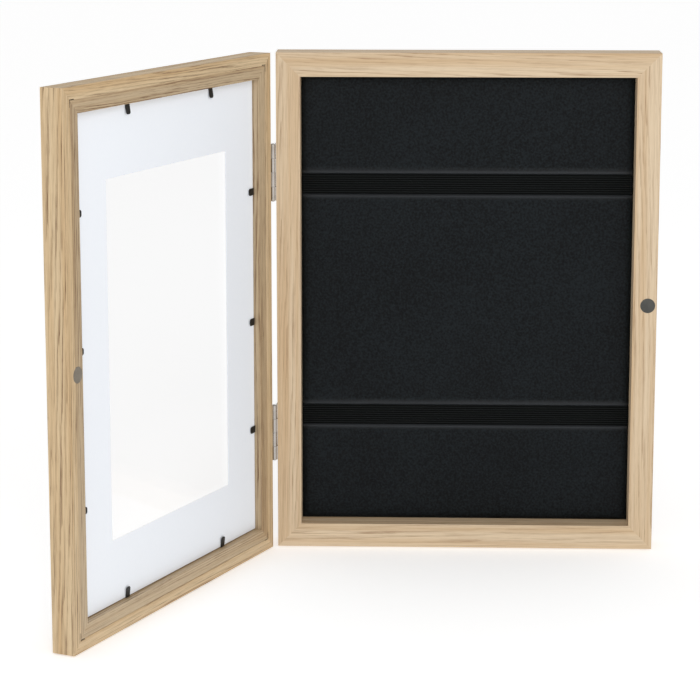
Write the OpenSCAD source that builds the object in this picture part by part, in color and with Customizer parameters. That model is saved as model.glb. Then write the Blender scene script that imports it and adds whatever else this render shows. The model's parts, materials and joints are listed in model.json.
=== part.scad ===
// Wall mounted showcase: a shallow oak case with a padded, strapped board inside,
// closed by a glazed and matted door that swings on two small butt hinges.
// Frame: origin at the middle of the back face, +Y into the wall, +Z up, millimetres.

/* [Case] */
// Outside width of the case and of the door
case_w = 335; // [300:1:380]
// Outside height of the case and of the door
case_h = 444; // [410:1:500]
// Depth of the case, from the wall to its front edge
case_d = 32; // [30:1:40]
// Width of the case rails, seen from the front
rail_w = 21; // [20:0.5:24]
// Distance from the front edge back to the padded board
board_setback = 20; // [15:0.5:21]

/* [Door] */
// How far the door stands open, in degrees
door_open = 114; // [0:1:180]
// Thickness of the door
door_t = 20; // [18:0.5:24]
// Width of the full-depth outer band of the door rails
band_w = 10; // [9:0.5:11]
// Width of the slip glued inside the band
slip_w = 11; // [10:0.5:12]
// How far the front lip reaches in past the slip, over the glazing
lip_w = 5; // [3:0.5:8]
// Gap between the closed door and the case
door_gap = 0.6; // [0.5:0.1:1]

/* [Mat and glazing] */
// Width of the window cut in the mat
window_w = 194; // [150:1:210]
// Height of the window cut in the mat
window_h = 292; // [250:1:320]
// How far the window's middle sits below the middle of the door
window_drop = 2; // [0:0.5:5]
// Thickness of the mat board
mat_t = 1.5; // [1:0.1:2]
// Thickness of the glazing
glazing_t = 2; // [1.5:0.1:2.5]
// Depth from the door's back face to the mat
mat_setback = 6.5; // [6:0.5:7]

/* [Straps] */
// Width of each elastic strap
strap_w = 18; // [15:1:25]
// Distance of each strap's middle from the middle of the case
strap_z = 104.5; // [80:0.5:120]

/* [Hinges and magnets] */
// Length of each hinge
hinge_l = 50; // [40:1:60]
// Distance of each hinge's middle from the middle of the case
hinge_z = 117; // [90:1:130]
// Distance of the hinge pin outside the case's side
pin_out = 2.9; // [2.7:0.1:3.3]
// Diameter of the magnet and of its catch plate
magnet_d = 13; // [10:0.5:14]

/* [Hangers] */
// Height of the keyhole hangers above the middle of the case
hanger_z = 175; // [165:1:180]

/* [Hidden] */
$fn = 48;
e = 0.01;                                  // overshoot of a cut past a face

// Planes, as Y values of the closed door and the case
front_y = -case_d;                         // front edge of the case
board_y = front_y + board_setback;         // front of the padded board
rear_y = front_y - door_gap;               // back face of the closed door
// Rebate at the back of the case, and the panel that fills it flush
rebate_w = 5;
panel_t = 3;
rebate_d = panel_t;
panel_gap = 0.3;
board_gap = 0.2;
inner_w = case_w - 2 * rail_w;
inner_h = case_h - 2 * rail_w;
board_hw = inner_w / 2 - board_gap;        // half width of the padded board
board_hh = inner_h / 2 - board_gap;
// Straps
strap_t = 1.3;
strap_sink = 0.7;                          // how far a strap presses into the padding
strap_tail = 30;                           // length turned round behind the board
strap_clear = 0.2;
// Staples that hold the strap tails
staple_places = [0.35, 0.75];              // shares of the tail's length, from the board's edge
staple_crown = 10;
staple_r = 0.35;
staple_leg = 3.5;
// Door section
slip_drop = 0.3;                           // the slip lies this much below the band
glass_d = mat_setback + mat_t + glazing_t; // depth of the lip's back face
door_in = band_w + slip_w;                 // wood width seen from behind
pane_gap = 0.5;
pane_w = case_w - 2 * door_in - 2 * pane_gap;
pane_h = case_h - 2 * door_in - 2 * pane_gap;
// Corner nails: bent steel strips driven across the mitres
nail_leg = 6.5;
nail_t = 0.7;
nail_depth = 7;
case_nail_in = 6;                          // distance from the outer edges to the bend
// Hinges
axis_x = -case_w / 2 - pin_out;
axis_y = front_y - door_gap / 2;
knuckles = 4;
knuckle_r = 2.1;
knuckle_gap = 0.3;
pin_r = 1;
pin_fit = 0.05;
pin_head_r = 1.6;
pin_top_r = 1.2;
pin_head_t = 0.5;
leaf_t = 1.2;
leaf_near = 2.5;                           // plate starts this far from the pin
leaf_far = 10.5;
leaf_screw_y = 6.8;
leaf_screw_z = hinge_l * 0.34;
// Screws: head radius, shank radius, head depth, whole length
leaf_screw = [2.1, 1.1, 1.0, 9];
panel_screw = [2.6, 1.4, 1.6, 12];
hanger_screw = [2.4, 1.3, 1.3, 11];
panel_screw_x = inner_w / 2 + rebate_w / 2;
panel_screw_z = inner_h / 2 + rebate_w / 2;
panel_screw_places = [0.6, 0.5];           // shares of the half width and of the half height
// Magnet in the case, catch plate in the door
magnet_t = 4;
magnet_in = 8;                             // from the case's outer edge
magnet_rim = 0.1;
magnet_crown = 0.2;
crown_steps = 6;
plate_t = 2;
plate_in = 13.4;                           // from the door's free edge
seat_gap = 0.05;
// Keyhole hangers in the backs of the side rails
hanger_w = 12;
hanger_l = 40;
hanger_t = 1.5;
hanger_in = 8;                             // from the case's outer edge
hanger_x = case_w / 2 - hanger_in;
key_r = 4;
key_slot_r = 2;
key_rise = 9;
key_drop = -4;                             // keyhole's centre below the plate's middle
hanger_screw_z = 15;
key_pocket_r = 4.7;
key_pocket_d = 9;
// Bendable tabs that hold the mat
tab_w = 6;
tab_l = 9;
tab_t = 0.45;
tab_corner_r = 2;
tab_root = 0.3;                            // bend line, out from the wood
tab_rest = 0.1;                            // clearance over the mat
// Each tab: [side, place along that side from its middle, lift of the tip in degrees]
// Sides: 0 bottom, 1 top, 2 left (hinge side), 3 right (free side)
top_inner = [1, -71, 8];
top_outer = [1, 64, 9];
bottom_inner = [0, -84, 7];
bottom_outer = [0, 76, 6];
hinge_upper = [2, 103, 3];
hinge_middle = [2, -12, 4];
hinge_lower = [2, -109, 3];
free_upper = [3, 123, 11];
free_middle = [3, 15, 8];
free_lower = [3, -112, 10];
oak = [0.82, 0.72, 0.58];
oak_dark = [0.76, 0.64, 0.48];
oak_edge = [0.78, 0.68, 0.54];
nickel = [0.78, 0.77, 0.74];
steel = [0.42, 0.41, 0.4];
black = [0.12, 0.12, 0.13];

// ---------- placing ----------

// Moves a piece drawn for the bottom edge (inwards is +Z) to another side
module on_side(side, w, h) {
    if (side == 0) translate([0, 0, -h / 2]) children();
    if (side == 1) translate([0, 0, h / 2]) mirror([0, 0, 1]) children();
    if (side == 2) translate([-w / 2, 0, 0]) rotate([0, 90, 0]) children();
    if (side == 3) translate([w / 2, 0, 0]) rotate([0, -90, 0]) children();
}

// Swings what is drawn for the closed door open on the hinge pins
module door_pose() {
    translate([axis_x, axis_y, 0]) rotate([0, 0, -door_open])
        translate([-axis_x, -axis_y, 0]) children();
}

// A cylinder along Y, from y0 to y1
module rod_y(r, y0, y1) {
    translate([0, y1, 0]) rotate([90, 0, 0]) cylinder(r = r, h = y1 - y0);
}

// A countersunk screw that points along -Y, its head flush with y = 0
module screw(s) {
    rotate([90, 0, 0]) {
        cylinder(r1 = s[0], r2 = s[1], h = s[2]);
        cylinder(r = s[1], h = s[3]);
    }
}

// ---------- case ----------

// A rail with mitred ends, outer edge on z = 0, back face on y1
module mitred(len, w, y0, y1) {
    translate([0, y1, 0]) rotate([90, 0, 0]) linear_extrude(y1 - y0)
        polygon([[-len / 2, 0], [len / 2, 0], [len / 2 - w, w], [-len / 2 + w, w]]);
}

module case_rail(len) {
    difference() {
        mitred(len, rail_w, front_y, 0);
        translate([-len / 2, -rebate_d, rail_w - rebate_w]) cube([len, rebate_d + e, rebate_w + e]);
    }
}

module case_rail_top() { color(oak) on_side(1, case_w, case_h) case_rail(case_w); }
module case_rail_bottom() { color(oak) on_side(0, case_w, case_h) case_rail(case_w); }

module case_rail_left() {
    color(oak) difference() {
        on_side(2, case_w, case_h) case_rail(case_h);
        translate([-hanger_x, 0, hanger_z]) hanger_seat();
    }
}

module case_rail_right() {
    color(oak) difference() {
        on_side(3, case_w, case_h) case_rail(case_h);
        translate([hanger_x, 0, hanger_z]) hanger_seat();
        translate([case_w / 2 - magnet_in, 0, 0])
            rod_y(magnet_d / 2 + seat_gap, front_y - e, front_y + magnet_t);
    }
}

// Two legs that meet at the mitre, for the corner at the lower left
module corner_nail(y0) {
    translate([0, y0, 0]) {
        cube([nail_leg, nail_depth, nail_t]);
        cube([nail_t, nail_depth, nail_leg]);
    }
}

// One corner nail in each corner, its bend `inset` from both outer edges
module four_nails(inset, y0) {
    for (mx = [0, 1], mz = [0, 1]) mirror([mx, 0, 0]) mirror([0, 0, mz])
        translate([-case_w / 2 + inset, 0, -case_h / 2 + inset]) corner_nail(y0);
}

module case_corner_nails() { color(steel) four_nails(case_nail_in, -nail_depth); }

module screw_ring() {
    x_in = panel_screw_places[0] * inner_w / 2;
    z_in = panel_screw_places[1] * inner_h / 2;
    for (x = [-x_in, x_in], z = [-panel_screw_z, panel_screw_z]) translate([x, 0, z]) children();
    for (x = [-panel_screw_x, panel_screw_x], z = [-z_in, z_in]) translate([x, 0, z]) children();
}

module back_panel() {
    hw = inner_w / 2 + rebate_w - panel_gap;
    hh = inner_h / 2 + rebate_w - panel_gap;
    color([0.55, 0.43, 0.3]) difference() {
        translate([-hw, -rebate_d, -hh]) cube([2 * hw, panel_t, 2 * hh]);
        screw_ring() screw(panel_screw);
    }
}

module back_panel_screws() {
    color(nickel) screw_ring() screw(panel_screw);
}

// ---------- padded board and straps ----------

module padded_board() {
    color(black) difference() {
        translate([-board_hw, board_y, -board_hh])
            cube([2 * board_hw, -rebate_d - board_y, 2 * board_hh]);
        for (z = [-strap_z, strap_z]) translate([0, 0, z]) strap_groove();
    }
}

module strap_groove() {
    w = strap_w + 2 * strap_clear;
    t = strap_t + strap_clear;
    translate([-case_w, board_y - e, -w / 2]) cube([2 * case_w, strap_sink + e, w]);
    for (m = [0, 1]) mirror([m, 0, 0]) {
        translate([board_hw - t, board_y - e, -w / 2]) cube([t + e, case_d, w]);
        translate([board_hw - strap_tail - strap_clear, -rebate_d - t, -w / 2])
            cube([strap_tail + 1, t + e, w]);
    }
}

// The strap crosses the board, turns round its edges and is stapled behind
module strap() {
    color(black) translate([0, 0, -strap_w / 2]) {
        translate([-board_hw, board_y + strap_sink - strap_t, 0])
            cube([2 * board_hw, strap_t, strap_w]);
        for (m = [0, 1]) mirror([m, 0, 0]) {
            translate([board_hw - strap_t, board_y + strap_sink - strap_t, 0])
                cube([strap_t, -rebate_d - board_y - strap_sink + strap_t, strap_w]);
            translate([board_hw - strap_tail, -rebate_d - strap_t, 0])
                cube([strap_tail, strap_t, strap_w]);
        }
    }
}

module strap_upper() { translate([0, 0, strap_z]) strap(); }
module strap_lower() { translate([0, 0, -strap_z]) strap(); }

module staple() {
    translate([-staple_r, -2 * staple_r, -staple_crown / 2])
        cube([2 * staple_r, 2 * staple_r, staple_crown]);
    for (z = [-1, 1]) translate([0, 0, z * (staple_crown / 2 - staple_r)])
        rod_y(staple_r, -staple_leg - staple_r, -staple_r);
}

module strap_staples() {
    color(nickel) for (m = [0, 1], z = [-strap_z, strap_z], k = [0.35, 0.75])
        mirror([m, 0, 0]) translate([board_hw - k * strap_tail, -rebate_d, z]) staple();
}

// ---------- magnet and hangers ----------

module case_magnet() {
    color([0.31, 0.31, 0.3]) translate([case_w / 2 - magnet_in, front_y + magnet_t, 0])
        rotate([90, 0, 0]) rotate_extrude()
            polygon([[0, 0], [magnet_d / 2, 0], [magnet_d / 2, magnet_t + magnet_rim],
                for (k = [crown_steps - 1:-1:0]) [magnet_d / 2 * k / crown_steps,
                    magnet_t + magnet_rim + magnet_crown * (1 - pow(k / crown_steps, 2))]]);
}

// Flat plate with rounded ends, from y0 to y1, its middle at the origin
module stadium(w, l, y0, y1) {
    for (s = [-1, 1]) translate([0, 0, s * (l - w) / 2]) rod_y(w / 2, y0, y1);
    translate([-w / 2, y0, -(l - w) / 2]) cube([w, y1 - y0, l - w]);
}

module hanger_seat() {
    stadium(hanger_w, hanger_l, -hanger_t, e);
    translate([0, 0, key_drop + key_rise / 2])
        stadium(2 * key_pocket_r, 2 * key_pocket_r + key_rise, -key_pocket_d, 0);
}

module hanger() {
    color(nickel) difference() {
        stadium(hanger_w, hanger_l, -hanger_t, 0);
        translate([0, 0, key_drop]) rod_y(key_r, -hanger_t - e, e);
        translate([0, 0, key_drop + key_rise / 2])
            stadium(2 * key_slot_r, 2 * key_slot_r + key_rise, -hanger_t - e, e);
        for (z = [-1, 1]) translate([0, 0, z * hanger_screw_z]) screw(hanger_screw);
    }
}

module hanger_left() { translate([-hanger_x, 0, hanger_z]) hanger(); }
module hanger_right() { translate([hanger_x, 0, hanger_z]) hanger(); }

module hanger_screws() {
    color(nickel) for (x = [-1, 1], z = [-1, 1])
        translate([x * hanger_x, 0, hanger_z + z * hanger_screw_z]) screw(hanger_screw);
}

// ---------- hinges ----------

// A leaf in the pin's own frame: the wood's face is x = pin_out, the plate lies on +Y
module leaf(first) {
    step = hinge_l / knuckles;
    color(nickel) difference() {
        union() {
            translate([pin_out - leaf_t, leaf_near, -hinge_l / 2])
                cube([leaf_t, leaf_far - leaf_near, hinge_l]);
            for (k = [first:2:knuckles - 1])
                translate([0, 0, -hinge_l / 2 + k * step + knuckle_gap / 2]) {
                    cylinder(r = knuckle_r, h = step - knuckle_gap);
                    translate([pin_out - leaf_t, 0, 0])
                        cube([leaf_t, leaf_near + e, step - knuckle_gap]);
                }
        }
        cylinder(r = pin_r + pin_fit, h = hinge_l + 2, center = true);
        leaf_screws();
    }
}

// The two screws of a leaf in the same frame, driven along +X
module leaf_screws() {
    for (z = [-1, 1]) translate([pin_out - leaf_t, leaf_screw_y, z * leaf_screw_z])
        rotate([0, 0, 90]) screw(leaf_screw);
}

module pin() {
    color(steel) {
        cylinder(r = pin_r, h = hinge_l + 2 * e, center = true);
        for (m = [0, 1]) mirror([0, 0, m]) translate([0, 0, hinge_l / 2 + e])
            cylinder(r1 = pin_head_r, r2 = pin_top_r, h = pin_head_t);
    }
}

module at_hinge(z) { translate([axis_x, axis_y, z]) children(); }

module upper_hinge_case_leaf() { at_hinge(hinge_z) leaf(0); }
module lower_hinge_case_leaf() { at_hinge(-hinge_z) leaf(0); }
module upper_hinge_pin() { at_hinge(hinge_z) pin(); }
module lower_hinge_pin() { at_hinge(-hinge_z) pin(); }

module case_hinge_screws() {
    color(nickel) for (z = [-hinge_z, hinge_z]) at_hinge(z) leaf_screws();
}

module door_leaf(z) { door_pose() at_hinge(z) mirror([0, 1, 0]) leaf(1); }
module upper_hinge_door_leaf() { door_leaf(hinge_z); }
module lower_hinge_door_leaf() { door_leaf(-hinge_z); }

module door_hinge_screws() {
    color(nickel) door_pose() for (z = [-hinge_z, hinge_z])
        at_hinge(z) mirror([0, 1, 0]) leaf_screws();
}

// ---------- door ----------

// Full-depth band with the lip in front: d counts from the door's back face
module door_rail(len) {
    w = door_in + lip_w;
    difference() {
        mitred(len, w, rear_y - door_t, rear_y);
        translate([-len / 2, rear_y - glass_d, band_w]) cube([len, glass_d + e, w]);
    }
}

module door_slip(len) {
    difference() {
        mitred(len, door_in, rear_y - glass_d, rear_y - slip_drop);
        translate([-len / 2, rear_y - door_t, -e]) cube([len, door_t + e, band_w + e]);
    }
}

// The seat is cut through the free side's rail and slip
module plate_seat() {
    translate([case_w / 2 - plate_in, 0, 0])
        rod_y(magnet_d / 2 + seat_gap, rear_y - plate_t, rear_y + e);
}

module door_side(side, len) {
    color(oak_dark) door_pose() on_side(side, case_w, case_h) door_rail(len);
}

module slip_side(side, len) {
    color(oak_edge) door_pose() on_side(side, case_w, case_h) door_slip(len);
}

module door_rail_top() { door_side(1, case_w); }
module door_rail_bottom() { door_side(0, case_w); }
module door_rail_hinge() { door_side(2, case_h); }
module door_slip_top() { slip_side(1, case_w); }
module door_slip_bottom() { slip_side(0, case_w); }
module door_slip_hinge() { slip_side(2, case_h); }

module door_rail_free() {
    color(oak_dark) door_pose() difference() {
        on_side(3, case_w, case_h) door_rail(case_h);
        plate_seat();
    }
}

module door_slip_free() {
    color(oak_edge) door_pose() difference() {
        on_side(3, case_w, case_h) door_slip(case_h);
        plate_seat();
    }
}

module door_corner_nails() {
    color(steel) door_pose() four_nails(band_w - nail_t, rear_y - nail_depth);
}

module catch_plate() {
    color([0.49, 0.46, 0.42]) door_pose() translate([case_w / 2 - plate_in, 0, 0])
        rod_y(magnet_d / 2, rear_y - plate_t, rear_y);
}

module glazing() {
    color([0.85, 0.92, 0.95, 0.3]) door_pose()
        translate([-pane_w / 2, rear_y - glass_d, -pane_h / 2]) cube([pane_w, glazing_t, pane_h]);
}

module mat_board() {
    color([0.93, 0.94, 0.97]) door_pose() translate([0, rear_y - mat_setback - mat_t, 0])
        difference() {
            translate([-pane_w / 2, 0, -pane_h / 2]) cube([pane_w, mat_t, pane_h]);
            translate([-window_w / 2, -e, -window_h / 2 - window_drop])
                cube([window_w, mat_t + 2 * e, window_h]);
        }
}

// A tongue along +Z with a rounded tip, its bend line on X at the origin
module tongue() {
    translate([0, tab_t / 2, 0]) rotate([90, 0, 0]) linear_extrude(tab_t) {
        translate([-tab_w / 2, 0]) square([tab_w, tab_l - tab_corner_r]);
        translate([tab_corner_r - tab_w / 2, 0]) square([tab_w - 2 * tab_corner_r, tab_l]);
        for (x = [-1, 1]) translate([x * (tab_w / 2 - tab_corner_r), tab_l - tab_corner_r])
            circle(r = tab_corner_r);
    }
    rotate([0, 90, 0]) cylinder(r = tab_t / 2, h = tab_w, center = true);
}

// Places run along +X on the top and bottom, and along +Z on the two sides
module tab(t) {
    side = t[0];
    lift = t[2];
    place = side == 2 ? -t[1] : t[1];
    y = rear_y - mat_setback + tab_rest + tab_t / 2;
    color(black) door_pose() on_side(side, case_w, case_h)
        translate([place, y, door_in + tab_root]) rotate([-lift, 0, 0]) tongue();
}

module mat_tab_top_inner() { tab(top_inner); }
module mat_tab_top_outer() { tab(top_outer); }
module mat_tab_bottom_inner() { tab(bottom_inner); }
module mat_tab_bottom_outer() { tab(bottom_outer); }
module mat_tab_hinge_upper() { tab(hinge_upper); }
module mat_tab_hinge_middle() { tab(hinge_middle); }
module mat_tab_hinge_lower() { tab(hinge_lower); }
module mat_tab_free_upper() { tab(free_upper); }
module mat_tab_free_middle() { tab(free_middle); }
module mat_tab_free_lower() { tab(free_lower); }

case_rail_top();
case_rail_bottom();
case_rail_left();
case_rail_right();
case_corner_nails();
back_panel();
back_panel_screws();
padded_board();
strap_upper();
strap_lower();
strap_staples();
case_magnet();
hanger_left();
hanger_right();
hanger_screws();
upper_hinge_case_leaf();
lower_hinge_case_leaf();
upper_hinge_pin();
lower_hinge_pin();
case_hinge_screws();
door_rail_top();
door_rail_bottom();
door_rail_hinge();
door_rail_free();
door_slip_top();
door_slip_bottom();
door_slip_hinge();
door_slip_free();
door_corner_nails();
glazing();
mat_board();
catch_plate();
upper_hinge_door_leaf();
lower_hinge_door_leaf();
door_hinge_screws();
mat_tab_top_inner();
mat_tab_top_outer();
mat_tab_bottom_inner();
mat_tab_bottom_outer();
mat_tab_hinge_upper();
mat_tab_hinge_middle();
mat_tab_hinge_lower();
mat_tab_free_upper();
mat_tab_free_middle();
mat_tab_free_lower();
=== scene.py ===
import json
import math

import bmesh
import bpy
from mathutils import Matrix, Vector


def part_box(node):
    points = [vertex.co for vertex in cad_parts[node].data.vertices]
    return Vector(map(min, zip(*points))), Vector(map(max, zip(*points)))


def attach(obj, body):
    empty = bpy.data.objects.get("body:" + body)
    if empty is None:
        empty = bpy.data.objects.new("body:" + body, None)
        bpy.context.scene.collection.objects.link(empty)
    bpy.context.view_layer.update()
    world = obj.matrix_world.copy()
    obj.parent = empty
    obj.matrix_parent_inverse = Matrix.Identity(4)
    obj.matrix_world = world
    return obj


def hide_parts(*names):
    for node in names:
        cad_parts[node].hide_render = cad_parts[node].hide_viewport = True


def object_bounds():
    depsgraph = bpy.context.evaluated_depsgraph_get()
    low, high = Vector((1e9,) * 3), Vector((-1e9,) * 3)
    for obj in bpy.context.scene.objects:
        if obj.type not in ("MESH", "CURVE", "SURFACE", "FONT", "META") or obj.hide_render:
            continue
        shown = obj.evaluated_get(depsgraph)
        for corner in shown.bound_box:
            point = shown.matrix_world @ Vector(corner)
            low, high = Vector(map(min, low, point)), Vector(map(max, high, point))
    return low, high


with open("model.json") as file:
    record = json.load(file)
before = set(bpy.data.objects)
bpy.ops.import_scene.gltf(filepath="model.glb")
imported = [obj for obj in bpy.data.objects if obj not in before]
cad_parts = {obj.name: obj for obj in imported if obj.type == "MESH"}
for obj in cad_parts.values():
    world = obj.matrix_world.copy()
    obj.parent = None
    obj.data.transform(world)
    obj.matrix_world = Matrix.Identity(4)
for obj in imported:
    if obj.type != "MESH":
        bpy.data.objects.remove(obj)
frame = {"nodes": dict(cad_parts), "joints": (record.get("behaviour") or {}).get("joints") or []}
cad_low, cad_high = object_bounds()

MM = 0.001
scene = bpy.context.scene
nodes = frame["nodes"]
object_middle = (cad_low + cad_high) / 2
swing = next(j for j in frame["joints"] if j["name"] == "door_swing")
HINGE = Vector(swing["pos_m"])
DOOR_OPEN = math.radians(-swing["range_deg"][0])  # from shut to how the door stands at rest

# The door's own frame is the row frame with the door shut. This takes it to where the door stands.
DOOR = Matrix.Translation(HINGE) @ Matrix.Rotation(-DOOR_OPEN, 4, "Z") @ Matrix.Translation(-HINGE)
SHUT = DOOR.inverted()


# ---------- camera ----------

CAMERA_AZIMUTH = math.radians(1.8)
CAMERA_ELEVATION = math.radians(10.6)
CAMERA_DISTANCE = 2.04
CAMERA_LENS = 127.0
CAMERA_SHIFT = -0.08  # keeps the case's sides nearly upright, seen from a little above
AIM_OFFSET = Vector((-0.019, 0, 0.035))  # from the middle of the object


def make_camera():
    data = bpy.data.cameras.new("camera")
    data.lens, data.shift_y = CAMERA_LENS, CAMERA_SHIFT
    camera = bpy.data.objects.new("camera", data)
    scene.collection.objects.link(camera)
    level = math.cos(CAMERA_ELEVATION)
    back = Vector((math.sin(CAMERA_AZIMUTH) * level, -math.cos(CAMERA_AZIMUTH) * level,
                   math.sin(CAMERA_ELEVATION)))
    camera.location = object_middle + AIM_OFFSET + back * CAMERA_DISTANCE
    camera.rotation_euler = (-back).to_track_quat("-Z", "Y").to_euler()
    scene.camera = camera


# ---------- light and floor ----------

WORLD_GLOW = 0.67
# Place from the middle of the object, width in metres, power in watts
KEY_LIGHT = (Vector((0.2, -2.2, 1.15)), 0.8, 12)
SIDE_FILL = (Vector((2.2, -1.3, 0.3)), 1.2, 2.6)
FLOOR_GLOW = 0.36  # keeps the plain floor white where the light on the object is softer
FLOOR_REACH = 18.0
FLOOR_BELOW = 1 * MM  # keeps the floor clear of the faces that stand on it


def area_light(name, offset, size, power):
    data = bpy.data.lights.new(name, "AREA")
    data.shape, data.size, data.energy = "DISK", size, power
    light = bpy.data.objects.new(name, data)
    scene.collection.objects.link(light)
    light.location = object_middle + offset
    light.rotation_euler = (-offset).to_track_quat("-Z", "Y").to_euler()


def make_stage():
    world = bpy.data.worlds.new("studio")
    world.use_nodes = True
    background = world.node_tree.nodes["Background"]
    background.inputs["Color"].default_value = (1, 1, 1, 1)
    background.inputs["Strength"].default_value = WORLD_GLOW
    scene.world = world
    scene.view_settings.view_transform = "Standard"
    area_light("key", *KEY_LIGHT)
    area_light("side_fill", *SIDE_FILL)

    corners = ((-1, -1), (1, -1), (1, 1), (-1, 1))
    mesh = bpy.data.meshes.new("floor")
    mesh.from_pydata([(x * FLOOR_REACH, y * FLOOR_REACH, cad_low.z - FLOOR_BELOW) for x, y in corners],
                     [], [(0, 1, 2, 3)])
    floor = bpy.data.objects.new("floor", mesh)
    scene.collection.objects.link(floor)
    paint = Paint("floor_paint")
    paint.set(Base_Color=(0.93, 0.93, 0.93, 1), Roughness=0.9, Specular_IOR_Level=0.1,
              Emission_Color=(1, 1, 1, 1), Emission_Strength=FLOOR_GLOW)
    mesh.materials.append(paint.material)


# ---------- painting with nodes ----------

class Paint:
    """A material with a Principled shader, and short ways to add nodes to it."""

    def __init__(self, name):
        self.material = bpy.data.materials.new(name)
        self.material.use_nodes = True
        self.tree = self.material.node_tree
        self.shader = self.tree.nodes["Principled BSDF"]

    def node(self, kind, **settings):
        made = self.tree.nodes.new("ShaderNode" + kind)
        for name, value in settings.items():
            setattr(made, name, value)
        return made

    def put(self, node, socket, value):
        """Sets a socket, or links it when value is another node's output."""
        if isinstance(value, bpy.types.NodeSocket):
            self.tree.links.new(value, node.inputs[socket])
        elif value is not None:
            node.inputs[socket].default_value = value

    def set(self, **values):
        """Sets or links the shader's own sockets, named with _ for each space."""
        for name, value in values.items():
            self.put(self.shader, name.replace("_", " "), value)

    def coords(self):
        """The piece's own coordinates: the row frame at rest, which rides with the piece."""
        return self.node("TexCoord").outputs["Object"]

    def math(self, operation, a, b=None, clamp=False):
        n = self.node("Math", operation=operation, use_clamp=clamp)
        self.put(n, 0, a)
        self.put(n, 1, b)
        return n.outputs[0]

    def add(self, a, b, clamp=False):
        return self.math("ADD", a, b, clamp)

    def times(self, a, b):
        return self.math("MULTIPLY", a, b)

    def scaled(self, vector, scale, offset=(0, 0, 0)):
        n = self.node("Mapping")
        for name, value in (("Vector", vector), ("Scale", scale), ("Location", offset)):
            self.put(n, name, value)
        return n.outputs[0]

    def noise(self, vector, scale=1.0, detail=3.0, rough=0.5):
        n = self.node("TexNoise")
        for name, value in (("Vector", vector), ("Scale", scale), ("Detail", detail), ("Roughness", rough)):
            self.put(n, name, value)
        return n.outputs["Fac"]

    def pebbles(self, vector, scale):
        n = self.node("TexVoronoi", feature="SMOOTH_F1")
        self.put(n, "Vector", vector)
        self.put(n, "Scale", scale)
        return n.outputs["Distance"]

    def range(self, value, low, high, to_low=0.0, to_high=1.0, smooth=False):
        n = self.node("MapRange", interpolation_type="SMOOTHSTEP" if smooth else "LINEAR")
        for name, number in (("Value", value), ("From Min", low), ("From Max", high),
                             ("To Min", to_low), ("To Max", to_high)):
            self.put(n, name, number)
        return n.outputs["Result"]

    def mix(self, share, a, b):
        """Colour a where share is 0, and b where it is 1."""
        n = self.node("Mix", data_type="RGBA")
        for socket, value in ((0, share), (6, a), (7, b)):
            self.put(n, socket, value)
        return n.outputs[2]

    def bump(self, height, strength, distance):
        n = self.node("Bump")
        for name, value in (("Height", height), ("Strength", strength), ("Distance", distance)):
            self.put(n, name, value)
        self.put(self.shader, "Normal", n.outputs[0])


def rgb(red, green, blue):
    """A colour as it is seen on screen, 0 to 255, as the linear colour that a shader takes."""
    def linear(c):
        c /= 255
        return c / 12.92 if c <= 0.04045 else ((c + 0.055) / 1.055) ** 2.4
    return (linear(red), linear(green), linear(blue), 1)


# ---------- oak ----------

CASE_LIGHT, CASE_DARK = rgb(220, 199, 169), rgb(148, 114, 82)
# The slips, and a little the door's rails, are darker than the case's oak: painted shade for the door, which
# stands turned away from the front light.
DOOR_LIGHT, DOOR_DARK = rgb(218, 194, 157), rgb(106, 74, 44)
SLIP_LIGHT = rgb(197, 176, 145)
WARM_BAND = (0.86, 0.77, 0.66, 1)  # what the broad warmer bands keep of the light colour

# How fine each noise is, per metre: along the grain, into the wood and across it
DRIFT_FINENESS = (3.4, 30, 30)
WAVER_FINENESS = (9, 300, 300)
VIGOUR_FINENESS = (3.6, 170, 170)
FIBRE_FINENESS = (15, 1250, 1100)
PORE_FINENESS = (75, 3000, 2600)
BAND_FINENESS = (2.2, 110, 110)

DRIFT_RINGS, WAVER_RINGS = 4.2, 1.5  # how many rings the slow drift and the fine waver span
RING_RISE = (0.0, 0.07)              # a ring's dark line comes up sharply, in shares of the ring
RING_FADE = (0.10, 0.60)             # and fades slowly
RING_SHADE, FIBRE_SHADE, PORE_SHADE = 0.66, 0.30, 0.36
LOG_SHIFT = (1.37, 0.61, 0.83)       # takes a log's seed to its own place in every noise


class Log:
    """Where a rail was cut from its log: the heart's place beside the rail, its slant and its rings."""

    def __init__(self, heart, slant, ring_pitch, figure, seed):
        self.heart = heart
        self.slant = slant
        self.ring_pitch = ring_pitch
        self.figure = figure
        self.seed = seed


# Heart (depth, across) in metres from the row's origin, slant in degrees (in depth, across),
# ring pitch, strength of the figure, seed
CASE_LOGS = {
    "top": Log((0.055, -0.150), (0.5, -2.6), 3.3 * MM, 0.80, 3.1),
    "bottom": Log((0.070, 0.265), (0.8, 2.0), 3.6 * MM, 0.66, 5.8),
    "left": Log((0.060, 0.205), (-0.6, 2.2), 3.0 * MM, 0.72, 8.5),
    "right": Log((0.058, -0.105), (0.7, -1.8), 3.2 * MM, 0.76, 11.2),
}
DOOR_LOGS = {
    "top": Log((-0.005, -0.150), (0.9, 1.2), 2.2 * MM, 1.05, 17.3),
    "bottom": Log((-0.004, 0.270), (-0.8, 1.0), 2.4 * MM, 0.95, 20.6),
    "hinge": Log((-0.006, 0.215), (1.0, -1.0), 2.2 * MM, 1.05, 23.9),
    "free": Log((-0.002, -0.100), (-1.6, -0.9), 2.6 * MM, 1.1, 27.2),
}
SLIP_LOGS = {
    "top": Log((0.000, -0.150), (0.4, 0.5), 1.9 * MM, 1.2, 31.7),
    "bottom": Log((0.000, 0.260), (-0.5, 0.4), 2.0 * MM, 1.0, 33.8),
    "hinge": Log((0.000, 0.210), (0.4, -0.5), 1.8 * MM, 1.15, 35.9),
    "free": Log((0.000, -0.110), (-0.4, -0.4), 1.9 * MM, 1.2, 38.0),
}


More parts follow.
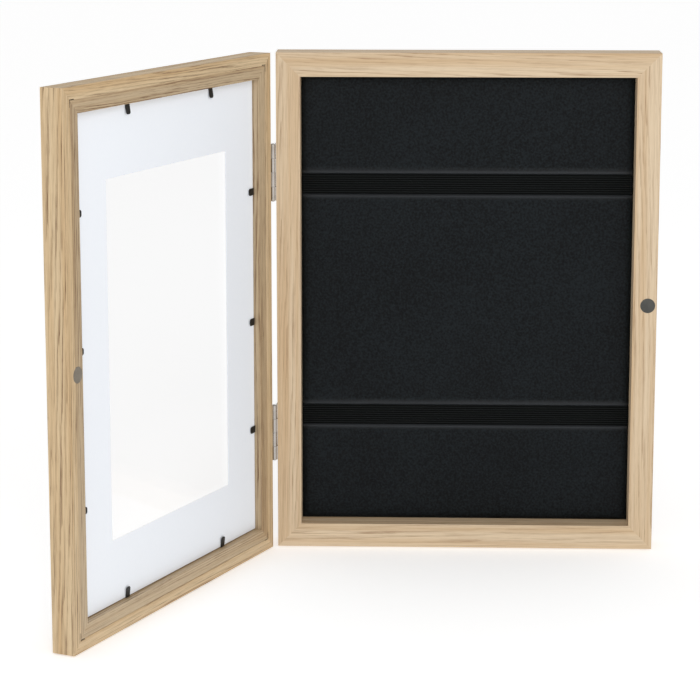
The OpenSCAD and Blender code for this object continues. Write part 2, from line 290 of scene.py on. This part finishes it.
def grain_frame(paint, upright, on_door):
    """Coordinates whose X runs along the wood's grain, Y into its depth and Z across it."""
    vector = paint.coords()
    if on_door:
        turned = paint.node("VectorRotate", rotation_type="Z_AXIS")
        for name, value in (("Vector", vector), ("Center", HINGE), ("Angle", DOOR_OPEN)):
            paint.put(turned, name, value)
        vector = turned.outputs[0]
    if not upright:
        return vector
    split, join = paint.node("SeparateXYZ"), paint.node("CombineXYZ")
    paint.put(split, 0, vector)
    for axis, source in (("X", "Z"), ("Y", "Y"), ("Z", "X")):
        paint.put(join, axis, split.outputs[source])
    return join.outputs[0]


def heart_distance(paint, grain, log):
    """How far a point lies from the log's slanting heart, across the grain."""
    placed = paint.node("Mapping", vector_type="POINT")
    paint.put(placed, "Vector", grain)
    paint.put(placed, "Location", (0, *log.heart))
    paint.put(placed, "Rotation", (0, math.radians(log.slant[1]), math.radians(log.slant[0])))
    length = paint.node("VectorMath", operation="LENGTH")
    paint.put(length, 0, paint.scaled(placed.outputs[0], (0, 1, 1)))
    return length.outputs["Value"]


def oak(name, side, on_door, log, light, dark):
    """Pale oak: growth rings about a slanting heart, pores where each ring starts, fine fibres."""
    paint = Paint(name)
    grain = grain_frame(paint, side not in ("top", "bottom"), on_door)
    shift = tuple(log.seed * part for part in LOG_SHIFT)

    def grained(fineness, detail=3, rough=0.5):
        return paint.noise(paint.scaled(grain, fineness, shift), detail=detail, rough=rough)

    rings = paint.math("DIVIDE", heart_distance(paint, grain, log), log.ring_pitch)
    rings = paint.add(rings, paint.times(grained(DRIFT_FINENESS, rough=0.55), DRIFT_RINGS))
    rings = paint.add(rings, paint.times(grained(WAVER_FINENESS, 4, 0.58), WAVER_RINGS))
    phase = paint.math("FRACT", rings)
    ring_start = paint.times(paint.range(phase, *RING_RISE, smooth=True),
                             paint.range(phase, *RING_FADE, 1.0, 0.0, smooth=True))
    vigour = paint.range(grained(VIGOUR_FINENESS), 0.34, 0.66, 0.08, 1.0, smooth=True)
    ring_line = paint.times(ring_start, vigour)

    fibres = grained(FIBRE_FINENESS, 4, 0.66)
    pore_pit = paint.range(grained(PORE_FINENESS, 2), 0.52, 0.64, smooth=True)
    pores = paint.times(pore_pit, paint.range(ring_line, 0, 0.6, 0.42, 1.0))

    broken_line = paint.times(ring_line, paint.range(fibres, 0.36, 0.60, 0.35, 1.0))
    fibre_line = paint.range(fibres, 0.46, 0.70, smooth=True)
    shade = paint.add(paint.times(broken_line, RING_SHADE * log.figure), paint.times(fibre_line, FIBRE_SHADE))
    shade = paint.add(shade, paint.times(pores, PORE_SHADE * log.figure), clamp=True)
    warm = tuple(c * kept for c, kept in zip(light, WARM_BAND))
    ground = paint.mix(paint.range(grained(BAND_FINENESS), 0.40, 0.68), light, warm)
    paint.set(Base_Color=paint.mix(shade, ground, dark), Roughness=paint.range(shade, 0, 1, 0.48, 0.64),
              Specular_IOR_Level=0.30)
    paint.bump(paint.add(paint.times(pores, -1.0), paint.times(ring_line, -0.3)), 0.4, 0.10 * MM)
    return paint.material


# ---------- other materials ----------

RIDGE_HIGHLIGHT = "ridge"  # painted highlight: how much paler the leatherette is painted beside a strap's channel, for the light the ridge there catches
LEATHER_DEEP = (0.0010, 0.0017, 0.0022, 1)
LEATHER_HIGH = (0.0078, 0.0112, 0.0134, 1)
# painted highlight: the paler colour laid on the ridges beside the straps
LEATHER_RIDGE_HIGHLIGHT = (0.038, 0.041, 0.045, 1)
CLOUD_SHARE = 0.25              # how much the broad clouds add to the leatherette's fine creases
GRAIN_HEIGHTS = (0.495, 0.755)  # from where the grain is deepest in colour to where it is palest
STRAP_RIBS = 9
# painted shade in the valleys between the ribs, and a painted highlight on their crests
ELASTIC_VALLEY_SHADE = (0.0006, 0.0008, 0.0008, 1)
ELASTIC_CREST_HIGHLIGHT = (0.0150, 0.0170, 0.0170, 1)
GLAZING_VEIL = 0.03  # share of light that each face of the glazing turns back


def leatherette():
    """Black leatherette: fine pebbled grain, smoother and with a painted highlight on the ridges beside the
    straps.
    """
    paint = Paint("leatherette")
    at = paint.coords()
    creases = paint.noise(at, scale=520, detail=4, rough=0.6)
    cloudy = paint.noise(at, scale=14)
    # painted highlight: how much of the paler ridge colour each point gets
    painted_highlight = paint.node("Attribute", attribute_name=RIDGE_HIGHLIGHT).outputs["Fac"]
    height = paint.add(creases, paint.times(cloudy, CLOUD_SHARE))
    grained = paint.mix(paint.range(height, *GRAIN_HEIGHTS), LEATHER_DEEP, LEATHER_HIGH)
    rough = paint.math("SUBTRACT", paint.range(cloudy, 0.3, 0.7, 0.42, 0.52), paint.times(painted_highlight, 0.10))
    paint.set(Base_Color=paint.mix(painted_highlight, grained, LEATHER_RIDGE_HIGHLIGHT), Roughness=rough, Specular_IOR_Level=0.12)
    paint.bump(paint.add(paint.pebbles(at, 820), paint.times(creases, 0.6)), 0.35, 0.10 * MM)
    return paint.material


def elastic(strap_heights, rib_pitch):
    """Woven black elastic: rubber ribs with a painted highlight on their crests, broken by wear along the
    threads, and painted shade in their valleys.
    """
    paint = Paint("elastic")
    at = paint.coords()
    split = paint.node("SeparateXYZ")
    paint.put(split, 0, at)
    threads = paint.noise(paint.scaled(at, (2300, 400, 260)), detail=2)
    fuzz = paint.noise(at, scale=3000, detail=2)

    def ribs_of(height):
        """The rise of the ribs on the strap at one height, and 0 away from that strap."""
        ribs_off = paint.math("DIVIDE", paint.math("SUBTRACT", split.outputs["Z"], height), rib_pitch)
        rise = paint.math("ABSOLUTE", paint.math("SINE", paint.times(ribs_off, math.pi)))
        on_strap = paint.math("LESS_THAN", paint.math("ABSOLUTE", ribs_off), STRAP_RIBS / 2 + 0.2)
        return paint.times(rise, on_strap)

    upper, lower = (ribs_of(height) for height in strap_heights)
    # painted highlight on the ribs' crests against painted shade in the valleys; the threads wear the crests
    # unevenly
    crest = paint.range(paint.add(upper, lower), 0.45, 0.95, smooth=True)
    wear_and_sheen = paint.times(crest, paint.range(threads, 0.2, 0.8, 0.6, 1.0))
    paint.set(Base_Color=paint.mix(wear_and_sheen, ELASTIC_VALLEY_SHADE, ELASTIC_CREST_HIGHLIGHT),
              Roughness=paint.range(fuzz, 0.2, 0.8, 0.62, 0.78), Specular_IOR_Level=0.05)
    paint.bump(paint.add(threads, paint.times(fuzz, 0.4)), 0.5, 0.10 * MM)
    return paint.material


def card():
    """White mat board: smooth paper with a faint fibre."""
    paint = Paint("mat_card")
    fibre = paint.noise(paint.scaled(paint.coords(), (700, 700, 300)), detail=4, rough=0.6)
    paint.set(Base_Color=paint.mix(fibre, rgb(242, 246, 252), rgb(247, 250, 255)), Roughness=0.88,
              Specular_IOR_Level=0.2)
    paint.bump(fibre, 0.12, 0.05 * MM)
    return paint.material


def metal(name, colour, rough, scratched=(900, 900, 900), wear_and_sheen=None, metallic=1.0, depth=0.02 * MM):
    """A metal with fine scratches and duller patches."""
    paint = Paint(name)
    at = paint.coords()
    scratches = paint.noise(paint.scaled(at, scratched))
    patches = paint.noise(at, scale=90, detail=4)
    paint.set(Base_Color=paint.mix(paint.range(patches, 0.45, 0.75), colour, wear_and_sheen or colour),
              Roughness=paint.range(scratches, 0.25, 0.75, rough - 0.08, rough + 0.10), Metallic=metallic)
    paint.bump(scratches, 0.25, depth)
    return paint.material


def fibreboard():
    """Pressed brown fibreboard, finely flecked."""
    paint = Paint("fibreboard")
    at = paint.coords()
    flecks = paint.noise(at, scale=900, detail=4, rough=0.7)
    clouds = paint.noise(at, scale=25)
    base = paint.mix(paint.range(clouds, 0.3, 0.7), rgb(140, 110, 82), rgb(128, 98, 72))
    paint.set(Base_Color=paint.mix(paint.range(flecks, 0.45, 0.75), base, rgb(96, 70, 50)),
              Roughness=paint.range(flecks, 0.2, 0.8, 0.6, 0.75))
    paint.bump(flecks, 0.3, 0.08 * MM)
    return paint.material


def acrylic():
    """Clear glazing: nearly all light passes, and a thin reflection stays on its surface."""
    paint = Paint("acrylic")
    dust = paint.noise(paint.coords(), scale=60)
    paint.set(Base_Color=(0.93, 0.96, 1.0, 1), Metallic=1.0, Alpha=GLAZING_VEIL,
              Roughness=paint.range(dust, 0.3, 0.7, 0.02, 0.06))
    return paint.material


# ---------- mesh helpers ----------

CAD_SMOOTH_ANGLE = 30  # a CAD node's faces are smooth up to this angle, in degrees
EASED_ANGLE = 35       # and an edge sharper than this one is eased
EASED_SEGMENTS = 2


def smooth_up_to(mesh, angle):
    """Shades a mesh smooth, except over edges sharper than angle, in degrees."""
    mesh.polygons.foreach_set("use_smooth", [True] * len(mesh.polygons))
    mesh.set_sharp_from_angle(angle=math.radians(angle))


def flatten_faces(piece):
    """Keeps big flat faces evenly lit next to small rounded edges."""
    piece.modifiers.new("flat_faces", "WEIGHTED_NORMAL").keep_sharp = True


def new_piece(name, mesh, material, body, node, smooth_angle):
    """Links a finished mesh as a piece that rides on a body and stands for a CAD node."""
    piece = bpy.data.objects.new(name, mesh)
    scene.collection.objects.link(piece)
    mesh.materials.append(material)
    smooth_up_to(mesh, smooth_angle)
    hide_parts(node)
    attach(piece, body)
    return piece


def finish_node(node, width, material):
    """Keeps a CAD node, eases its edges and gives it a material."""
    piece = nodes[node]
    piece.data.materials.clear()
    piece.data.materials.append(material)
    edge = piece.modifiers.new("eased_edges", "BEVEL")
    edge.width, edge.segments, edge.limit_method = width, EASED_SEGMENTS, "ANGLE"
    edge.angle_limit = math.radians(EASED_ANGLE)
    smooth_up_to(piece.data, CAD_SMOOTH_ANGLE)
    flatten_faces(piece)


def finished_mesh(name, bm):
    bmesh.ops.recalc_face_normals(bm, faces=bm.faces)
    mesh = bpy.data.meshes.new(name)
    bm.to_mesh(mesh)
    bm.free()
    return mesh


def bridge(bm, a, b):
    """Joins two closed rows of as many vertices with a band of faces."""
    for i in range(len(a)):
        j = (i + 1) % len(a)
        bm.faces.new((a[i], a[j], b[j], b[i]))


def grid_shell(name, rings):
    """A closed tube through rings of points, its two ends filled."""
    bm = bmesh.new()
    made = [[bm.verts.new(p) for p in ring] for ring in rings]
    for a, b in zip(made, made[1:]):
        bridge(bm, a, b)
    for ring in (made[0], made[-1]):
        bmesh.ops.triangulate(bm, faces=[bm.faces.new(ring)])
    return finished_mesh(name, bm)


# ---------- padded board ----------

EDGE_ROUND, EDGE_DROP = 5 * MM, 2.6 * MM  # how far in the rim is rounded, and how far it falls
CHANNEL_PRESS = 0.7 * MM                  # how deep a strap presses into the padding
CHANNEL_WALL = (0.2 * MM, 1.0 * MM)       # where the channel's wall starts beside the strap, and its width
SWELL, SWELL_AT, SWELL_REACH = 1.4 * MM, 1.5 * MM, 2.8 * MM  # height, place and reach of the ridge
PUCKER, PUCKER_REACH = 0.10 * MM, 9 * MM
PUCKER_WAVES = (95, 41)                   # radians per metre along the strap
UNEVEN, UNEVEN_WAVES = 0.12 * MM, (19, 15)
WAIST = 1.6 * MM                          # how far a strap draws in the board's sides
TAIL_ROOM = 1.6 * MM                      # left behind the board for the straps' tails
THINNEST = 1 * MM
FINE_STEP, COARSE_STEP = 0.6 * MM, 5 * MM
FINE_ZONE = (-2 * MM, 13 * MM)            # beside a strap's edge, where the rows are close
RIM_ROWS = 6
COLUMNS, BACK_EVERY = 44, 4               # steps across the front, and which of them the back keeps


def padded_board(strap_heights, strap_half):
    """Foam under leatherette: rounded edges, pressed in under the straps and swollen beside them."""
    low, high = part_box("padded_board")
    back = high.y - TAIL_ROOM

    def strap_gap(z):
        """How far above or below the nearest strap's edge a height lies; negative under the strap."""
        return min(abs(z - h) for h in strap_heights) - strap_half

    def under_strap(z):
        """1 under a strap and 0 beside it, with a soft edge."""
        start, width = CHANNEL_WALL
        t = min(max((strap_gap(z) - start) / width, 0), 1)
        return 1 - t * t * (3 - 2 * t)

    def front(x, z):
        rim = min(x - low.x, high.x - x, z - low.z, high.z - z)
        t = min(rim / EDGE_ROUND, 1)
        drop = EDGE_DROP * (1 - math.sqrt(max(1 - (1 - t) ** 2, 0)))
        gap = strap_gap(z)
        ridge = SWELL * math.exp(-((gap - SWELL_AT) / SWELL_REACH) ** 2)
        waves = math.sin(x * PUCKER_WAVES[0]) * math.sin(x * PUCKER_WAVES[1] + 1)
        pucker = PUCKER * waves * math.exp(-abs(gap) / PUCKER_REACH)
        raised = (1 - under_strap(z)) * (ridge + pucker) - under_strap(z) * CHANNEL_PRESS
        uneven = UNEVEN * math.sin(x * UNEVEN_WAVES[0] + 0.6) * math.sin(z * UNEVEN_WAVES[1])
        return low.y + drop - (raised + uneven) * t

    heights, z = [low.z], low.z
    while z < high.z - COARSE_STEP:
        at_rim = min(z - low.z, high.z - z) < EDGE_ROUND
        at_strap = FINE_ZONE[0] < strap_gap(z) < FINE_ZONE[1]
        z += FINE_STEP if at_strap or at_rim else COARSE_STEP
        heights.append(z)
    top_rows = [high.z - EDGE_ROUND * k / RIM_ROWS for k in range(RIM_ROWS - 1, -1, -1)]
    heights += [row for row in top_rows if row > heights[-1]]

    half, middle = (high.x - low.x) / 2, (high.x + low.x) / 2
    shares = [math.sin(math.pi / 2 * (2 * k / COLUMNS - 1)) for k in range(COLUMNS + 1)]
    rings = []
    for z in heights:
        reach = half - WAIST * under_strap(z)
        ring = [(middle + reach * u, min(front(middle + half * u, z), back - THINNEST), z) for u in shares]
        ring += [(middle + reach * u, back, z) for u in shares[::-BACK_EVERY]]
        rings.append(ring)
    mesh = grid_shell("board_padding", rings)
    # Painted highlight: each point's share of the paler ridge colour, highest beside a strap and fading away
    # from it
    ridge = mesh.attributes.new(RIDGE_HIGHLIGHT, "FLOAT", "POINT")
    for vertex, painted_highlight in zip(mesh.vertices, ridge.data):
        painted_highlight.value = math.exp(-(max(strap_gap(vertex.co.z), 0) / SWELL_REACH) ** 2)
    piece = new_piece("board_padding", mesh, leatherette(), "case", "padded_board",
                      smooth_angle=50)


# ---------- straps ----------

BAND_THICK = 1.1 * MM
RIB_RISE = 0.5 * MM
RIB_STEPS, RIB_ROUND = 8, 0.6    # steps across one rib, and how full its crest is
BAND_WALL = 0.1 * MM             # keeps the band inside its CAD solid
BAND_TURN, TURN_STEPS = 1.3 * MM, 6
TAIL, TAIL_STEPS = 30 * MM, 4
RUN_STEPS, FLAT_STEPS = 30, 8    # steps along the front, and across the flat inner side


def band_line(low, high):
    """The band's middle line seen from above, as (x, y) with its outward direction."""
    front, back = low.y + BAND_THICK / 2 + BAND_WALL, high.y - BAND_THICK / 2 - BAND_WALL
    edge = high.x - BAND_WALL - BAND_THICK / 2
    centre = edge - BAND_TURN
    turn = [math.radians(90 * k / TURN_STEPS) for k in range(TURN_STEPS + 1)]
    side = [(edge - TAIL * (1 - k / TAIL_STEPS), back, 0, 1) for k in range(TAIL_STEPS)]
    side += [(centre + BAND_TURN * math.sin(a), back - BAND_TURN + BAND_TURN * math.cos(a),
              math.sin(a), math.cos(a)) for a in turn]
    side += [(centre + BAND_TURN * math.cos(a), front + BAND_TURN - BAND_TURN * math.sin(a),
              math.cos(a), -math.sin(a)) for a in turn]
    run = [(centre * (1 - 2 * k / RUN_STEPS), front, 0, -1) for k in range(1, RUN_STEPS)]
    return side + run + [(-x, y, -out_x, out_y) for x, y, out_x, out_y in reversed(side)]


def strap(name, node, material):
    """Ribbed elastic that crosses the board, turns round its edges and ends behind it."""
    low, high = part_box(node)
    middle, half = (low.z + high.z) / 2, (high.z - low.z) / 2

    # Across the band: ribs on its outer side, flat on its inner side
    across = []
    for k in range(STRAP_RIBS * RIB_STEPS + 1):
        u = k / (STRAP_RIBS * RIB_STEPS)
        rib = abs(math.sin(math.pi * u * STRAP_RIBS)) ** RIB_ROUND
        across.append(((2 * u - 1) * half, BAND_THICK / 2 - RIB_RISE * (1 - rib)))
    across += [(half * (1 - 2 * k / FLAT_STEPS), -BAND_THICK / 2) for k in range(FLAT_STEPS + 1)]

    line = band_line(low, high)
    rings = [[(x + out_x * rise, y + out_y * rise, middle + z) for z, rise in across]
             for x, y, out_x, out_y in line]
    piece = new_piece(name, grid_shell(name, rings), material, "case", node,
                      smooth_angle=60)


# ---------- mat ----------

MAT_TRIM = 0.4 * MM         # how much smaller than its CAD solid the sheet is on each side
MAT_OFF_GLAZING = 0.1 * MM  # keeps the two faces apart
MAT_LIP = 0.25 * MM         # the window's edge is square this deep, and bevelled below
MAT_SOFT_EDGE = 0.10 * MM


def mat():
    """The mat's sheet with its window cut at 45 degrees, wider towards the glazing."""
    shut = [SHUT @ v.co for v in nodes["mat_board"].data.vertices]
    xs, ys, zs = (sorted({round(v[k], 5) for v in shut}) for k in range(3))
    outer = (xs[0] + MAT_TRIM, xs[-1] - MAT_TRIM, zs[0] + MAT_TRIM, zs[-1] - MAT_TRIM)
    window = (xs[1], xs[-2], zs[1], zs[-2])
    front, back = ys[0] + MAT_OFF_GLAZING, ys[-1]

    bm = bmesh.new()

    def rectangle(left, right, bottom, top, y, grow=0.0):
        corners = ((left - grow, bottom - grow), (right + grow, bottom - grow),
                   (right + grow, top + grow), (left - grow, top + grow))
        return [bm.verts.new(DOOR @ Vector((x, y, z))) for x, z in corners]

    loops = [rectangle(*outer, back), rectangle(*outer, front),
             rectangle(*window, front, back - front - MAT_LIP), rectangle(*window, back - MAT_LIP),
             rectangle(*window, back)]
    for a, b in zip(loops, loops[1:] + loops[:1]):
        bridge(bm, a, b)
    piece = new_piece("mat_sheet", finished_mesh("mat_sheet", bm), card(), "door", "mat_board",
                      smooth_angle=30)
    soften = piece.modifiers.new("soft_edges", "BEVEL")
    soften.width, soften.segments = MAT_SOFT_EDGE, 2
    flatten_faces(piece)


# ---------- screws ----------

SCREW_STEPS = 32
HEAD_RIM = 0.12               # the following are shares of the head's radius
CROSS_ARM, CROSS_SLOT, CROSS_DEPTH = 0.62, 0.15, 0.42
CROSS_TAPER = 0.55            # size of the recess's floor against its outline
THREAD_PITCH, THREAD_ROOT = 0.9, 0.86  # the following are shares of the shank's radius
TIP_LENGTH, POINT_LENGTH = 2.2, 0.9
FIRST_TURN, EACH_TURN = 0.7, 1.9       # each screw stops at its own angle, in radians


def solids_of(node):
    """The separate solids of a CAD node, each as a list of points."""
    bm = bmesh.new()
    bm.from_mesh(nodes[node].data)
    bmesh.ops.remove_doubles(bm, verts=bm.verts, dist=1e-6)
    left, found = set(bm.verts), []
    while left:
        group, reached = set(), [left.pop()]
        while reached:
            v = reached.pop()
            group.add(v)
            others = [e.other_vert(v) for e in v.link_edges]
            reached += [other for other in others if other in left]
            left.difference_update(others)
        found.append([v.co.copy() for v in group])
    bm.free()

    def place(points):
        return tuple(round(sum(p[k] for p in points) / len(points), 4) for k in (2, 0, 1))

    return sorted(found, key=place)


def middle_and_half(values):
    return (min(values) + max(values)) / 2, (max(values) - min(values)) / 2


def screw_into(bm, points, way, turned):
    """One countersunk cross-head screw along way, the size of the CAD solid that points are from."""
    way = way.normalized()
    side = way.orthogonal().normalized()
    up = way.cross(side)
    start = min(p.dot(way) for p in points)
    length = max(p.dot(way) for p in points) - start
    middle_side, head_r = middle_and_half([p.dot(side) for p in points])
    middle_up, _ = middle_and_half([p.dot(up) for p in points])
    end_points = [p for p in points if p.dot(way) > start + length - 0.1 * MM]
    shank_r = min(math.hypot(p.dot(side) - middle_side, p.dot(up) - middle_up) for p in end_points)
    shank_r = max(shank_r, head_r * 0.45)

    def vertex(radius, angle, depth):
        a = angle + turned
        return bm.verts.new(side * (middle_side + radius * math.cos(a))
                            + up * (middle_up + radius * math.sin(a)) + way * (start + depth))

    def ring(radius, depth):
        return [vertex(radius, 2 * math.pi * k / SCREW_STEPS, depth) for k in range(SCREW_STEPS)]

    rim = HEAD_RIM * head_r
    depth = rim + head_r - shank_r
    rings = [ring(head_r * 0.93, 0), ring(head_r * 0.99, rim * 0.5), ring(head_r * 0.99, rim),
             ring(shank_r, depth)]
    pitch = shank_r * THREAD_PITCH
    while depth < length - TIP_LENGTH * shank_r:
        rings += [ring(shank_r * THREAD_ROOT, depth + pitch * 0.35), ring(shank_r, depth + pitch * 0.7)]
        depth += pitch
    rings += [ring(shank_r * 0.55, length - POINT_LENGTH * shank_r), ring(shank_r * 0.08, length)]
    for a, b in zip(rings, rings[1:]):
        bridge(bm, a, b)
    bm.faces.new(rings[-1])

    # The cross recess: its outline on the head, the same outline smaller below, and a floor
    arm, slot = head_r * CROSS_ARM, head_r * CROSS_SLOT
    outline = []
    for k in range(4):
        c, s = math.cos(math.pi / 2 * k), math.sin(math.pi / 2 * k)
        outline += [(u * c - v * s, u * s + v * c) for u, v in ((slot, -slot), (arm, -slot), (arm, slot))]

    def cross(scale, depth):
        return [vertex(math.hypot(u, v) * scale, math.atan2(v, u), depth) for u, v in outline]

    top, bottom = cross(1, 0), cross(CROSS_TAPER, head_r * CROSS_DEPTH)
    bridge(bm, top, bottom)
    bm.faces.new(bottom)
    edges = [bm.edges.get((v, loop[(k + 1) % len(loop)])) for loop in (rings[0], top)
             for k, v in enumerate(loop)]
    bmesh.ops.triangle_fill(bm, edges=edges, use_beauty=True)


def screws(node, way, body, material):
    bm = bmesh.new()
    for k, points in enumerate(solids_of(node)):
        screw_into(bm, points, way, FIRST_TURN + EACH_TURN * k)
    name = node + "_heads"
    new_piece(name, finished_mesh(name, bm), material, body, node, smooth_angle=35)


# ---------- the object ----------

def make_wood():
    for side, log in CASE_LOGS.items():
        finish_node(f"case_rail_{side}", 0.4 * MM,
                    oak(f"case_oak_{side}", side, False, log, CASE_LIGHT, CASE_DARK))
    for side, log in DOOR_LOGS.items():
        finish_node(f"door_rail_{side}", 0.4 * MM,
                    oak(f"door_oak_{side}", side, True, log, DOOR_LIGHT, DOOR_DARK))
    for side, log in SLIP_LOGS.items():
        finish_node(f"door_slip_{side}", 0.35 * MM,
                    oak(f"slip_oak_{side}", side, True, log, SLIP_LIGHT, DOOR_DARK))


def make_soft_goods():
    boxes = [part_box(node) for node in ("strap_upper", "strap_lower")]
    heights = [(low.z + high.z) / 2 for low, high in boxes]
    width = boxes[0][1].z - boxes[0][0].z
    material = elastic(heights, width / STRAP_RIBS)
    strap("strap_upper_band", "strap_upper", material)
    strap("strap_lower_band", "strap_lower", material)
    padded_board(heights, width / 2)


def make_hardware():
    nickel = metal("nickel", (0.47, 0.44, 0.41, 1), 0.13, (2600, 2600, 500),
                   wear_and_sheen=(0.36, 0.33, 0.29, 1), depth=0.005 * MM)
    screw_steel = metal("screw_steel", (0.46, 0.45, 0.43, 1), 0.32)
    dark_steel = metal("dark_steel", (0.07, 0.065, 0.06, 1), 0.5, wear_and_sheen=(0.12, 0.08, 0.05, 1))
    black_steel = metal("black_steel", (0.018, 0.018, 0.018, 1), 0.45, wear_and_sheen=(0.03, 0.03, 0.03, 1),
                        metallic=0.6)
    magnet_coat = metal("magnet_coat", rgb(74, 74, 71), 0.5, wear_and_sheen=rgb(88, 87, 83), metallic=0.5)
    plate_steel = metal("plate_steel", rgb(150, 142, 130), 0.5, wear_and_sheen=rgb(132, 124, 112), metallic=0.6)
    pin_steel = metal("pin_steel", (0.5, 0.49, 0.46, 1), 0.35)
    hanger_plating = metal("hanger_plating", (0.62, 0.61, 0.58, 1), 0.32, (300, 300, 2600))

    for place in ("upper", "lower"):
        finish_node(f"{place}_hinge_case_leaf", 0.25 * MM, nickel)
        finish_node(f"{place}_hinge_door_leaf", 0.25 * MM, nickel)
        finish_node(f"{place}_hinge_pin", 0.1 * MM, pin_steel)
    for side in ("left", "right"):
        finish_node(f"hanger_{side}", 0.2 * MM, hanger_plating)
    for body in ("case", "door"):
        finish_node(f"{body}_corner_nails", 0.08 * MM, dark_steel)
    finish_node("strap_staples", 0.08 * MM, screw_steel)
    finish_node("case_magnet", 0.2 * MM, magnet_coat)
    finish_node("catch_plate", 0.2 * MM, plate_steel)
    for node in nodes:
        if node.startswith("mat_tab"):
            finish_node(node, 0.08 * MM, black_steel)

    inwards = Vector((1, 0, 0))  # from the hinge side into the wood
    from_behind = Vector((0, -1, 0))
    screws("case_hinge_screws", inwards, "case", screw_steel)
    screws("door_hinge_screws", DOOR.to_3x3() @ inwards, "door", screw_steel)
    screws("back_panel_screws", from_behind, "case", screw_steel)
    screws("hanger_screws", from_behind, "case", screw_steel)


make_camera()
make_stage()
make_wood()
make_soft_goods()
mat()
finish_node("back_panel", 0.3 * MM, fibreboard())
finish_node("glazing", 0.2 * MM, acrylic())
make_hardware()
